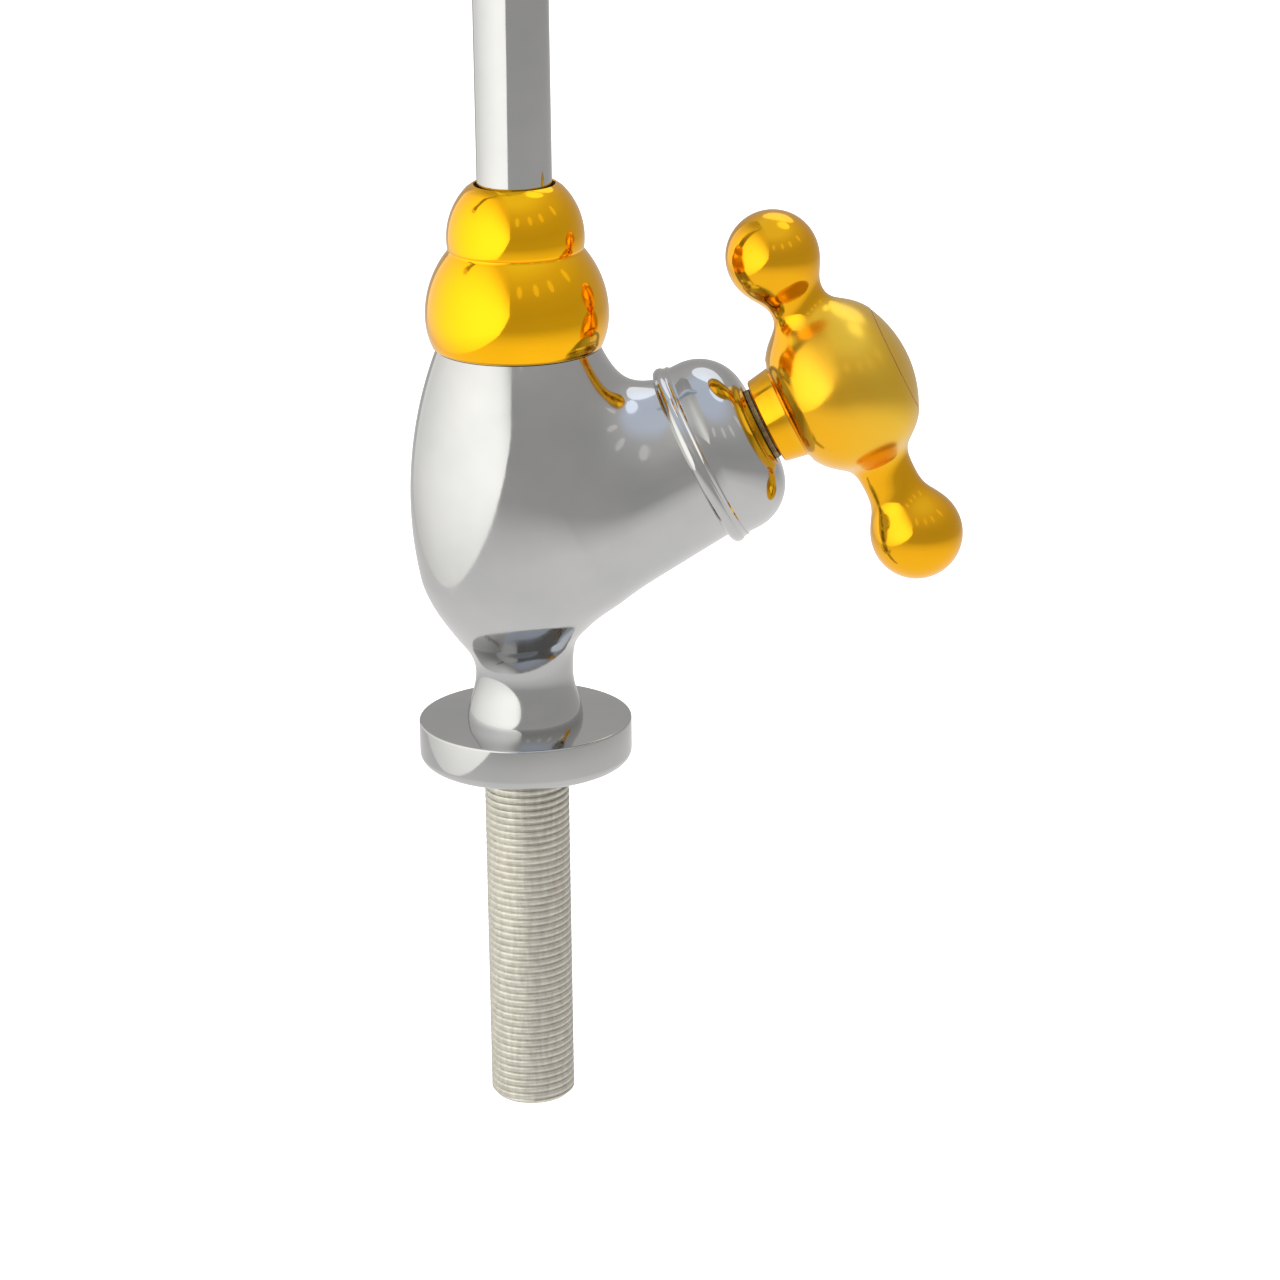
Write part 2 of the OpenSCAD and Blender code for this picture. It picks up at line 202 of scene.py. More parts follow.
# ---------------------------------------------------------------- threaded shank
# The tail of the tap: a brass tube with a cut G1/2 thread, plated in satin nickel.
# The crests are left a little flat, the end is chamfered, and a plain spigot above
# the deck goes up through the flange into the neck.
shank_low, shank_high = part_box("threaded_shank")
SHANK_R = shank_high[0]
SHANK_BORE = 0.0065
SPIGOT_R = 0.0097
PITCH = 0.001814
THREAD_DEPTH = 0.0005
SHANK_CHAMFER = 0.0013
DECK = 0.0


def ease(a, b, value):
    """Smooth step from 0 at a to 1 at b."""
    t = np.clip((value - a) / (b - a), 0, 1)
    return t * t * (3 - 2 * t)


def vertex_points(piece):
    """The vertices of a piece as rows of x, y and z."""
    points = np.empty(len(piece.data.vertices) * 3)
    piece.data.vertices.foreach_get("co", points)
    return points.reshape(-1, 3)


def set_points(piece, points):
    piece.data.vertices.foreach_set("co", points.ravel())
    piece.data.update()


def node_material(name, colour, metallic, roughness):
    """A principled material; colour noise, roughness and bump are added by its maker."""
    material = bpy.data.materials.new(name)
    material.use_nodes = True
    shader = material.node_tree.nodes["Principled BSDF"]
    shader.inputs["Base Color"].default_value = (*colour, 1)
    shader.inputs["Metallic"].default_value = metallic
    shader.inputs["Roughness"].default_value = roughness
    return material


def noise(material, scale, detail, stretch=(1, 1, 1)):
    """Noise on Object coordinates, with scale in cycles a metre."""
    nodes, links = material.node_tree.nodes, material.node_tree.links
    place = nodes.new("ShaderNodeTexCoord")
    mapping = nodes.new("ShaderNodeMapping")
    mapping.inputs["Scale"].default_value = stretch
    texture = nodes.new("ShaderNodeTexNoise")
    texture.inputs["Scale"].default_value = scale
    texture.inputs["Detail"].default_value = detail
    links.new(place.outputs["Object"], mapping.inputs["Vector"])
    links.new(mapping.outputs["Vector"], texture.inputs["Vector"])
    return texture.outputs["Fac"]


def vary(material, source, socket, low, high, start=0.35, end=0.65):
    """Maps a noise onto one of the shader's number sockets."""
    nodes, links = material.node_tree.nodes, material.node_tree.links
    spread = nodes.new("ShaderNodeMapRange")
    spread.inputs["From Min"].default_value = start
    spread.inputs["From Max"].default_value = end
    spread.inputs["To Min"].default_value = low
    spread.inputs["To Max"].default_value = high
    links.new(source, spread.inputs["Value"])
    links.new(spread.outputs["Result"], nodes["Principled BSDF"].inputs[socket])


def tint(material, source, dark, light, start=0.35, end=0.65):
    """Maps a noise onto the base colour, between two shades."""
    nodes, links = material.node_tree.nodes, material.node_tree.links
    shades = nodes.new("ShaderNodeValToRGB")
    shades.color_ramp.elements[0].position = start
    shades.color_ramp.elements[0].color = (*dark, 1)
    shades.color_ramp.elements[1].position = end
    shades.color_ramp.elements[1].color = (*light, 1)
    links.new(source, shades.inputs["Fac"])
    links.new(shades.outputs["Color"], nodes["Principled BSDF"].inputs["Base Color"])


def bump(material, source, distance, strength=1.0):
    """Adds a bump on top of any the material already has."""
    nodes, links = material.node_tree.nodes, material.node_tree.links
    shader = nodes["Principled BSDF"]
    relief = nodes.new("ShaderNodeBump")
    relief.inputs["Distance"].default_value = distance
    relief.inputs["Strength"].default_value = strength
    if shader.inputs["Normal"].is_linked:
        links.new(shader.inputs["Normal"].links[0].from_socket, relief.inputs["Normal"])
    links.new(source, relief.inputs["Height"])
    links.new(relief.outputs["Normal"], shader.inputs["Normal"])


def settle_shading(piece, angle=35):
    """Merges doubles, turns faces outwards and shades smooth over gentle edges."""
    bpy.ops.object.select_all(action="DESELECT")
    bpy.context.view_layer.objects.active = piece
    piece.select_set(True)
    bpy.ops.object.mode_set(mode="EDIT")
    bpy.ops.mesh.select_all(action="SELECT")
    bpy.ops.mesh.remove_doubles(threshold=0.000004)
    bpy.ops.mesh.normals_make_consistent(inside=False)
    bpy.ops.object.mode_set(mode="OBJECT")
    bpy.ops.object.shade_smooth_by_angle(angle=math.radians(angle))


def thread_rod(name, radius, low, high):
    """Turns one thread's outline round and up the shank, then trims and closes both ends."""
    turns = int((high - low) / PITCH) + 3
    bpy.ops.object.select_all(action="DESELECT")
    bpy.ops.mesh.primitive_plane_add(size=1, location=(0, 0, 0))
    piece = bpy.context.object
    piece.name = name
    root = radius - THREAD_DEPTH
    outline = [(root, 0), (root, 0.06), (radius - 0.0001, 0.22), (radius, 0.3),
               (radius, 0.78), (radius - 0.0001, 0.86), (root, 1)]
    bpy.ops.object.mode_set(mode="EDIT")
    bpy.ops.mesh.delete(type="VERT")
    bpy.ops.object.mode_set(mode="OBJECT")
    start = low - PITCH
    piece.data.from_pydata([(r, 0, start + PITCH * z) for r, z in outline],
                           [(i, i + 1) for i in range(len(outline) - 1)], [])
    screw = piece.modifiers.new("thread", "SCREW")
    screw.angle = 2 * math.pi
    screw.screw_offset = PITCH
    screw.iterations = turns
    screw.steps = screw.render_steps = 72
    screw.use_merge_vertices = True
    bpy.ops.object.modifier_apply(modifier="thread")
    bpy.ops.object.mode_set(mode="EDIT")
    for height, outer in ((low, False), (high, True)):
        bpy.ops.mesh.select_all(action="SELECT")
        bpy.ops.mesh.bisect(plane_co=(0, 0, height), plane_no=(0, 0, 1), use_fill=True,
                            clear_inner=not outer, clear_outer=outer, threshold=0.000001)
    bpy.ops.object.mode_set(mode="OBJECT")
    points = vertex_points(piece)
    rings = np.hypot(points[:, 0], points[:, 1])
    limit = radius - SHANK_CHAMFER + np.clip(points[:, 2] - low, 0, SHANK_CHAMFER)
    shrink = np.minimum(1, limit / np.maximum(rings, 1e-6))
    points[:, :2] *= shrink[:, None]
    set_points(piece, points)
    settle_shading(piece, 50)
    return piece


def arc(centre, radius, first, last, steps):
    """Stations of an arc in the (radius, height) plane, angles in degrees."""
    return [(centre[0] + radius * math.cos(math.radians(first + (last - first) * i / steps)),
             centre[1] + radius * math.sin(math.radians(first + (last - first) * i / steps)))
            for i in range(steps + 1)]


def lathe(name, stations, segments=144, angle=35):
    """Raises a ring through stations of (radius, height), as on a lathe."""
    bpy.ops.object.select_all(action="DESELECT")
    radius, level = stations[0]
    bpy.ops.mesh.primitive_circle_add(vertices=segments, radius=radius, location=(0, 0, level))
    piece = bpy.context.object
    piece.name = name
    bpy.ops.object.transform_apply(location=True, rotation=False, scale=False)
    bpy.ops.object.mode_set(mode="EDIT")
    for next_radius, next_level in stations[1:]:
        bpy.ops.mesh.extrude_region_move(TRANSFORM_OT_translate={"value": (0, 0, next_level - level)})
        grow = next_radius / radius
        bpy.ops.transform.resize(value=(grow, grow, 1), center_override=(0, 0, next_level))
        radius, level = next_radius, next_level
    bpy.ops.object.mode_set(mode="OBJECT")
    settle_shading(piece, angle)
    return piece


def solid_lathe(name, stations, segments=96):
    """A lathe piece closed at both ends by small discs."""
    radius = 0.0005
    piece = lathe(name, [(radius, stations[0][1])] + stations + [(radius, stations[-1][1])], segments)
    bpy.ops.object.mode_set(mode="EDIT")
    bpy.ops.mesh.select_all(action="DESELECT")
    bpy.ops.mesh.select_non_manifold()
    bpy.ops.mesh.fill_holes(sides=0)
    bpy.ops.object.mode_set(mode="OBJECT")
    settle_shading(piece)
    return piece


def join_solid(piece, other, how="UNION"):
    """Boolean of two closed pieces; the second is used up."""
    cut = piece.modifiers.new("join", "BOOLEAN")
    cut.operation = how
    cut.solver = "EXACT"
    cut.object = other
    bpy.context.view_layer.objects.active = piece
    bpy.ops.object.modifier_apply(modifier="join")
    bpy.data.objects.remove(other)


shank = thread_rod("shank_thread", SHANK_R, shank_low[2], DECK)
spigot = solid_lathe("shank_spigot", [(SPIGOT_R, -0.003), (SPIGOT_R, shank_high[2] - 0.0004),
                                      (SPIGOT_R - 0.0004, shank_high[2])])
join_solid(shank, spigot)
waterway = solid_lathe("shank_waterway", [(SHANK_BORE, shank_low[2] - 0.001),
                                          (SHANK_BORE, shank_high[2] + 0.001)])
join_solid(shank, waterway, "DIFFERENCE")
settle_shading(shank, 50)

satin_nickel = node_material("satin_nickel", (0.6, 0.58, 0.52), 1.0, 0.4)
tint(satin_nickel, noise(satin_nickel, 900, 4, (1, 1, 0.25)), (0.58, 0.56, 0.5), (0.7, 0.68, 0.61))
vary(satin_nickel, noise(satin_nickel, 1600, 3, (1, 1, 0.3)), "Roughness", 0.38, 0.5)
bump(satin_nickel, noise(satin_nickel, 4000, 3), 0.000012)
shank.data.materials.append(satin_nickel)
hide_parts("threaded_shank")
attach(shank, "valve_body")

# ---------------------------------------------------------------- deck flange
# A heavy brass disc under the neck, turned, polished and chromed. Its top edge is
# crisp and its lower edge well rounded. The rubber gasket sits in a recess below.
flange_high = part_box("base_flange")[1]
FLANGE_R = flange_high[0]
FLANGE_TOP = flange_high[2]
LOWER_ROUND, UPPER_ROUND = 0.0026, 0.0005
RECESS_IN, RECESS_OUT, RECESS_TOP = 0.014, 0.02, 0.002

flange = lathe("deck_flange", [(SPIGOT_R, 0.0), (RECESS_IN, 0.0), (RECESS_IN, RECESS_TOP),
                               (RECESS_OUT, RECESS_TOP), (RECESS_OUT, 0.0)]
               + arc((FLANGE_R - LOWER_ROUND, LOWER_ROUND), LOWER_ROUND, -90, 0, 12)
               + arc((FLANGE_R - UPPER_ROUND, FLANGE_TOP - UPPER_ROUND), UPPER_ROUND, 0, 90, 6)
               + [(0.0165, FLANGE_TOP), (SPIGOT_R, FLANGE_TOP), (SPIGOT_R, 0.0)], 180)


def chrome_plate(name, haze):
    """Bright chrome over polished brass: faint waves, fine hairlines and a little haze."""
    material = node_material(name, (0.50, 0.50, 0.51), 1.0, haze)
    tint(material, noise(material, 55, 3), (0.475, 0.48, 0.49), (0.515, 0.515, 0.515))
    vary(material, noise(material, 120, 5), "Roughness", haze * 0.7, haze * 1.5)
    bump(material, noise(material, 60, 2), 0.00005, 0.6)
    bump(material, noise(material, 1800, 2, (1, 1, 0.06)), 0.000004, 0.6)
    return material


chrome = chrome_plate("chrome_plate", 0.06)
flange.data.materials.append(chrome)
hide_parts("base_flange")
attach(flange, "valve_body")

# ---------------------------------------------------------------- body casting
# One brass casting: waisted neck, vase and a conical branch that leans out for the
# valve, all run together and polished before chroming, so no joint shows.
NECK_R, NECK_Z = 0.012, 0.0227
FOOT_R = NECK_R + 0.0023
VASE_R, VASE_Z, VASE_ARC = 0.0268, 0.0672, 0.101
BOWL_Z = NECK_Z + 0.0245
SHOULDER_Z = 0.1046
VALVE_Z = 0.0556
TILT = math.radians(26)
MOUTH_W, MOUTH_R = 0.0483, 0.0203
BRANCH_SPREAD = 0.0046 / MOUTH_W
BRANCH_DOME_W = 0.015
UNDERCUT = 0.0036
ALONG = np.array((math.cos(TILT), 0, math.sin(TILT)))
ACROSS = np.array((-math.sin(TILT), 0, math.cos(TILT)))
TO_VALVE = Matrix.Translation((0, 0, VALVE_Z)) @ Matrix.Rotation(math.pi / 2 - TILT, 4, "Y")


def side_radius(z):
    """Radius of the vase's side, a long arc that is widest at VASE_Z."""
    return VASE_R - VASE_ARC + np.sqrt(VASE_ARC ** 2 - (z - VASE_Z) ** 2)


def bezier(a, b, c, d, steps):
    """Points along a cubic curve from a to d."""
    t = np.linspace(0, 1, steps + 1)[:, None]
    a, b, c, d = (np.array(p) for p in (a, b, c, d))
    return (1 - t) ** 3 * a + 3 * (1 - t) ** 2 * t * b + 3 * (1 - t) * t ** 2 * c + t ** 3 * d


turn_point = np.array((NECK_R + 0.0043, NECK_Z + 0.0091))
bowl_end = (side_radius(BOWL_Z), BOWL_Z)
outline = np.vstack([
    bezier((FOOT_R, FLANGE_TOP), (FOOT_R, FLANGE_TOP + 0.004),
           (NECK_R, NECK_Z - 0.005), (NECK_R, NECK_Z), 60),
    bezier((NECK_R, NECK_Z), (NECK_R, NECK_Z + 0.004), turn_point - (0.0021, 0.0026), turn_point, 60)[1:],
    bezier(turn_point, turn_point + (0.0021, 0.003),
           (bowl_end[0] - 0.0016, BOWL_Z - 0.0065), bowl_end, 60)[1:],
    [(side_radius(z), z) for z in np.linspace(BOWL_Z, SHOULDER_Z + 0.004, 160)[1:]]])
outline = np.vstack([[(FOOT_R, FLANGE_TOP - 0.006)], outline])
slopes = np.gradient(outline[:, 0], outline[:, 1])


def vase_field(points):
    """Distance to the vase; under the branch the bowl is drawn in a little."""
    spin = np.arctan2(points[:, 1], points[:, 0])
    under = ((1 + np.cos(spin)) / 2) ** 2
    z = points[:, 2]
    z = z - UNDERCUT * under * ease(0.021, 0.031, z) * (1 - ease(0.045, 0.065, z))
    radius = np.interp(z, outline[:, 1], outline[:, 0])
    slope = np.interp(z, outline[:, 1], slopes)
    return (np.hypot(points[:, 0], points[:, 1]) - radius) / np.sqrt(1 + slope ** 2)


def branch_field(points):
    """Distance to the cone of the branch, which ends in a dome inside the vase."""
    local = points - (0, 0, VALVE_Z)
    w = local @ ALONG
    h = local @ ACROSS
    back = np.minimum(w - BRANCH_DOME_W, 0)
    radius = MOUTH_R + (MOUTH_W - np.maximum(w, BRANCH_DOME_W)) * BRANCH_SPREAD
    return np.sqrt(h ** 2 + points[:, 1] ** 2 + back ** 2) - radius


def melt(a, b, reach):
    """Smooth union of two distances, rounded over reach."""
    near = np.maximum(reach - np.abs(a - b), 0) / reach
    return np.minimum(a, b) - near ** 3 * reach / 6


def body_field(points):
    """Distance to the whole casting; the branch runs in more tightly at the vase's flanks."""
    h = (points - (0, 0, VALVE_Z)) @ ACROSS
    reach = 0.010 + 0.012 * ease(-0.012, 0.016, h)
    reach = reach * (1 - 0.5 * ease(0.014, 0.0262, np.abs(points[:, 1])))
    return melt(vase_field(points), branch_field(points), reach)


def settle_on(piece, field, rounds):
    """Evens out a mesh and lays its vertices exactly on the surface of field."""
    mesh = piece.data
    ends = np.empty(len(mesh.edges) * 2, dtype=np.int64)
    mesh.edges.foreach_get("vertices", ends)
    ends = ends.reshape(-1, 2)
    points = vertex_points(piece)
    count = np.bincount(ends.ravel(), minlength=len(points))
    step = 0.00001
    for turn in range(rounds + 2):
        if turn < rounds:
            total = np.stack([np.bincount(ends[:, 0], points[ends[:, 1], k], len(points))
                              + np.bincount(ends[:, 1], points[ends[:, 0], k], len(points))
                              for k in range(3)], axis=1)
            points = 0.4 * points + 0.6 * total / count[:, None]
        value = field(points)
        slope = np.stack([(field(points + step * axis) - field(points - step * axis)) / (2 * step)
                          for axis in np.eye(3)], axis=1)
        points = points - slope * (value / np.maximum((slope ** 2).sum(axis=1), 0.05))[:, None]
    set_points(piece, points)


def trim(piece, place, normal):
    """Cuts off what lies past the plane and closes the cut."""
    bpy.context.view_layer.objects.active = piece
    bpy.ops.object.mode_set(mode="EDIT")
    bpy.ops.mesh.select_all(action="SELECT")
    bpy.ops.mesh.bisect(plane_co=place, plane_no=normal, clear_outer=True, use_fill=True, threshold=0.000001)
    bpy.ops.object.mode_set(mode="OBJECT")


def remesh(piece, voxel):
    """Rebuilds a piece from cubes of one size, as an even mesh."""
    modifier = piece.modifiers.new("even", "REMESH")
    modifier.mode = "VOXEL"
    modifier.voxel_size = voxel
    bpy.context.view_layer.objects.active = piece
    bpy.ops.object.modifier_apply(modifier="even")


body = solid_lathe("tap_body", [tuple(p) for p in outline[1:-1:6]])
cone = solid_lathe("branch_cone", [(0.015, 0.0), (0.0222, 0.018), (MOUTH_R, MOUTH_W + 0.003)])
cone.data.transform(TO_VALVE)
join_solid(body, cone)
remesh(body, 0.0007)


def body_sheet(points):
    """The body's surface, closed off beyond the places where it is trimmed."""
    w = (points - (0, 0, VALVE_Z)) @ ALONG
    ends = np.maximum(w - MOUTH_W - 0.002, np.maximum(points[:, 2] - SHOULDER_Z - 0.002,
                                                      FLANGE_TOP - 0.002 - points[:, 2]))
    return np.maximum(body_field(points), ends)


settle_on(body, body_sheet, 8)
trim(body, (0, 0, FLANGE_TOP), (0, 0, -1))
trim(body, (0, 0, SHOULDER_Z), (0, 0, 1))
trim(body, tuple(Vector((0, 0, VALVE_Z)) + Vector(ALONG) * MOUTH_W), tuple(ALONG))
settle_shading(body, 40)

BOSS_R = 0.015
boss = solid_lathe("collar_thread", [(BOSS_R, SHOULDER_Z - 0.002), (BOSS_R, SHOULDER_Z + 0.0106),
                                     (0.014, SHOULDER_Z + 0.0116)])
join_solid(body, boss)
WALL = 0.003
DUCT_R = 0.0065
SEAT_R = 0.0095
SOCKET_Z = 0.097
BRANCH_WALL = 0.0033
HEADWORKS_R = 0.0132
FERRULE_R = 0.01205
SPOUT_BORE = 0.00905
sides = [(float(side_radius(z)) - WALL, z) for z in np.linspace(BOWL_Z, SOCKET_Z - 0.008, 8)]
hollow = solid_lathe("vase_hollow", [(0.012, 0.034), (0.018, 0.039)] + sides + [(0.0105, SOCKET_Z)])
chamber = solid_lathe("branch_chamber", [(MOUTH_R - BRANCH_WALL, 0.0), (MOUTH_R - BRANCH_WALL, 0.034)])
chamber.data.transform(TO_VALVE)
join_solid(hollow, chamber)
for radius, low, far, how in ((SEAT_R, 0.028, 0.014, "DIFFERENCE"),
                              (DUCT_R, FLANGE_TOP - 0.001, 0.0145, "UNION")):
    riser = solid_lathe("inlet_riser", [(radius, low), (radius, VALVE_Z + 0.004)])
    join_solid(hollow, riser, how)
    leg = solid_lathe("inlet_leg", [(radius - 0.0004, -0.004), (radius - 0.0004, far)])
    leg.data.transform(TO_VALVE)
    join_solid(hollow, leg, how)
mouth = solid_lathe("mouth_bore", [(HEADWORKS_R, 0.0335), (HEADWORKS_R, MOUTH_W + 0.001)])
mouth.data.transform(TO_VALVE)
socket = solid_lathe("spout_socket", [(SPOUT_BORE, SOCKET_Z - 0.008), (SPOUT_BORE, SOCKET_Z),
                                      (FERRULE_R, SOCKET_Z), (FERRULE_R, SHOULDER_Z + 0.013)])
spigot_bore = solid_lathe("spigot_bore", [(SPIGOT_R, FLANGE_TOP - 0.001), (SPIGOT_R, shank_high[2])])
for cutter in (mouth, socket, spigot_bore):
    join_solid(hollow, cutter)
join_solid(body, hollow, "DIFFERENCE")
settle_shading(body, 40)

body_chrome = chrome_plate("chrome_body", 0.09)
body.data.materials.append(body_chrome)
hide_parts("body_casting")
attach(body, "valve_body")

# ---------------------------------------------------------------- bonnet cover
# A thin pressed and chromed bell that hides the valve's hexagon. Its rim is rolled
# into a bead, with a fine groove and a small step beside it.
COVER_FACE = 0.0169
COVER_HOLE = 0.009
DOME_R, DOME_WALL = 0.0118, 0.0014
BEAD_R = 0.00165
RIM_R = MOUTH_R + 0.00035
BARREL_R = 0.0221
dome_centre = (BARREL_R - DOME_R, COVER_FACE - DOME_R)
cover = lathe("bonnet_bell", [(RIM_R, -0.0013), (RIM_R + 0.0003, -BEAD_R)]
              + arc((0.02155, 0), BEAD_R, -90, 42, 14)
              + [(0.02265, 0.00125), (0.02262, 0.00155), (0.0225, 0.00175), (0.0226, 0.00205),
                 (0.02255, 0.0024), (0.0222, 0.0027), (BARREL_R, 0.0031)]
              + arc(dome_centre, DOME_R, 0, 88, 30)
              + [(0.0094, COVER_FACE), (COVER_HOLE, COVER_FACE - 0.0004),
                 (COVER_HOLE, COVER_FACE - 0.003), (dome_centre[0], COVER_FACE - 0.003)]
              + arc(dome_centre, DOME_R - DOME_WALL, 85, 0, 20) + [(RIM_R, 0.001), (RIM_R, -0.0013)], 180)
cover.data.transform(TO_VALVE @ Matrix.Translation((0, 0, MOUTH_W)))
cover.data.materials.append(chrome)
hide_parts("bonnet_cover")
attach(cover, "valve_body")

# ---------------------------------------------------------------- handle
# A heavy gold-plated casting: hollow skirt ring, full-bellied hub and two arms that
# end in balls, ground and polished into one another.
HUB_W = MOUTH_W + 0.0386
HUB_R, HUB_HALF, HUB_CORE, HUB_POWER = 0.0207, 0.0164, 0.0035, 2.3
SKIRT_W = MOUTH_W + 0.0182
CAP_W = MOUTH_W + 0.0528
CAP_R = 0.0131
UPPER_REACH, LOWER_REACH, UPPER_LEAN = 0.036, 0.042, math.radians(1.9)
BALL_R, ARM_R = 0.0113, 0.0067
HUB_CUT = HUB_HALF * 0.86
SKIRT_BORE = 0.0094
SCREW_WELL_R = 0.009
SQUARE_SIDE, SQUARE_DEEP = 0.007, 0.022


def hub_radius(u):
    """Radius of the hub's belly at u along its axis from the middle."""
    along = np.minimum(np.abs(u) / HUB_HALF, 0.97)
    return HUB_CORE + (HUB_R - HUB_CORE) * (1 - along ** HUB_POWER) ** (1 / HUB_POWER)


def arm_fields(points, direction, reach):
    """Distances to one arm's neck and to its ball, from the hub's centre."""
    s = points @ direction
    aside = points - np.clip(s, 0, reach)[:, None] * direction
    neck = np.linalg.norm(aside, axis=1) - ARM_R
    ball = np.linalg.norm(points - reach * direction, axis=1) - BALL_R
    return neck, ball


upper_arm = np.array((-math.cos(UPPER_LEAN), 0, -math.sin(UPPER_LEAN)))
lower_arm = np.array((1.0, 0, 0))
arms = ((upper_arm, UPPER_REACH), (lower_arm, LOWER_REACH))


def handle_field(points):
    """Distance to the hub, arms and balls, run together and cut off at the hub's ends."""
    u = points[:, 2]
    radius = hub_radius(u)
    rise = (hub_radius(u + 0.0001) - hub_radius(u - 0.0001)) / 0.0002
    result = (np.hypot(points[:, 0], points[:, 1]) - radius) / np.sqrt(1 + rise ** 2)
    for direction, reach in arms:
        neck, ball = arm_fields(points, direction, reach)
        result = melt(melt(result, neck, 0.007), ball, 0.006)
    return np.maximum(result, np.abs(u) - HUB_CUT - 0.0012)


levels = np.linspace(-HUB_CUT - 0.001, HUB_CUT + 0.001, 40)
handle = solid_lathe("two_ball_handle", [(float(hub_radius(u)), u) for u in levels])
for direction, reach in arms:
    bpy.ops.object.select_all(action="DESELECT")
    bpy.ops.mesh.primitive_cylinder_add(vertices=48, radius=ARM_R, depth=reach - 0.008)
    neck = bpy.context.object
    aim = Vector(direction).to_track_quat("Z", "Y").to_matrix().to_4x4()
    neck.data.transform(aim @ Matrix.Translation((0, 0, reach / 2 + 0.004)))
    join_solid(handle, neck)
    bpy.ops.mesh.primitive_uv_sphere_add(segments=48, ring_count=24, radius=BALL_R)
    ball = bpy.context.object
    ball.data.transform(Matrix.Translation(Vector(direction) * reach))
    join_solid(handle, ball)
remesh(handle, 0.0006)
settle_on(handle, handle_field, 8)
trim(handle, (0, 0, -HUB_CUT), (0, 0, -1))
trim(handle, (0, 0, HUB_CUT), (0, 0, 1))
handle.data.transform(Matrix.Translation((0, 0, HUB_W)))
hub_end = float(hub_radius(HUB_CUT))
hub_back = HUB_W - HUB_CUT
hub_front = HUB_W + HUB_CUT
skirt = solid_lathe("skirt_ring",
                    [(0.01045, SKIRT_W), (0.01075, SKIRT_W + 0.0003), (0.0116, SKIRT_W + 0.0053),
                     (0.0116, SKIRT_W + 0.0056), (0.0121, SKIRT_W + 0.0059),
                     (hub_end - 0.0003, hub_back), (hub_end - 0.001, hub_back + 0.001)], 144)
cap_seat = solid_lathe("cap_seat", [(hub_end - 0.0006, hub_front - 0.001), (hub_end, hub_front - 0.0003),
                                    (CAP_R, CAP_W - 0.00004)], 144)
join_solid(handle, skirt)
join_solid(handle, cap_seat)
recess = solid_lathe("handle_recess", [(SKIRT_BORE, SKIRT_W - 0.001), (SKIRT_BORE, SKIRT_W + 0.007)])
cap_recess = solid_lathe("cap_recess", [(SCREW_WELL_R, MOUTH_W + 0.0407), (SCREW_WELL_R, CAP_W + 0.001)])
bpy.ops.mesh.primitive_cube_add(size=1, location=(0, 0, SKIRT_W + 0.017))
square = bpy.context.object
square.scale = (SQUARE_SIDE, SQUARE_SIDE, SQUARE_DEEP)
bpy.ops.object.transform_apply(location=True, rotation=False, scale=True)
for cutter in (cap_recess, square):
    join_solid(recess, cutter)
join_solid(handle, recess, "DIFFERENCE")
settle_shading(handle, 40)
handle.data.transform(TO_VALVE)


def gold_plate(name, haze, shade):
    """Thin bright gold over polished brass, with soft waves and wiping marks."""
    material = node_material(name, shade, 1.0, haze)
    tint(material, noise(material, 45, 3), tuple(0.96 * part for part in shade), shade)
    vary(material, noise(material, 140, 5), "Roughness", haze * 0.6, haze * 1.6)
    bump(material, noise(material, 70, 2), 0.00006, 0.6)
    bump(material, noise(material, 1500, 2, (0.08, 1, 1)), 0.000005, 0.6)
    return material


def satin_belly(material, centre, inner, outer):
    """Turns the plating paler and duller within inner of the centre, fading out at outer."""
    nodes, links = material.node_tree.nodes, material.node_tree.links
    shader = nodes["Principled BSDF"]
    place = nodes.new("ShaderNodeTexCoord")
    distance = nodes.new("ShaderNodeVectorMath")
    distance.operation = "DISTANCE"
    distance.inputs[1].default_value = centre
    links.new(place.outputs["Object"], distance.inputs[0])
    reach = nodes.new("ShaderNodeMapRange")
    reach.inputs["From Min"].default_value = inner
    reach.inputs["From Max"].default_value = outer
    links.new(distance.outputs["Value"], reach.inputs["Value"])
    for socket, kind, dull in (("Base Color", "RGBA", (0.86, 0.53, 0.05, 1)), ("Roughness", "FLOAT", 0.26)):
        factor, first, second, result = mix_node(nodes, kind)
        links.new(reach.outputs["Result"], factor)
        first.default_value = dull
        links.new(shader.inputs[socket].links[0].from_socket, second)
        links.new(result, shader.inputs[socket])


gold = gold_plate("gold_plate", 0.08, (1.0, 0.5, 0.008))
handle_gold = gold_plate("gold_handle", 0.1, (0.92, 0.45, 0.012))
satin_belly(handle_gold, TO_VALVE @ Vector((0, 0, HUB_W + 0.004)), 0.0195, 0.0235)
handle.data.materials.append(handle_gold)
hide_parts("handle")
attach(handle, "turn")

# ---------------------------------------------------------------- index cap
# A shallow domed cap pressed into the end of the hub, over the screw. It stands a
# little proud of the hub, so a fine step shows round it.
CAP_SPHERE = 0.0287
half_angle = math.degrees(math.asin(CAP_R / CAP_SPHERE))
dome_height = CAP_SPHERE - math.sqrt(CAP_SPHERE ** 2 - CAP_R ** 2)
cap = solid_lathe("hub_cap", [(SCREW_WELL_R, -0.004), (SCREW_WELL_R, 0.0), (CAP_R - 0.00004, 0.0),
                              (CAP_R, 0.00004)]
                  + arc((0, dome_height - CAP_SPHERE), CAP_SPHERE, 90 - half_angle + 0.6, 88.8, 24), 144)
cap.data.transform(TO_VALVE @ Matrix.Translation((0, 0, CAP_W)))
cap.data.materials.append(handle_gold)
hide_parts("index_cap")
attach(cap, "turn")

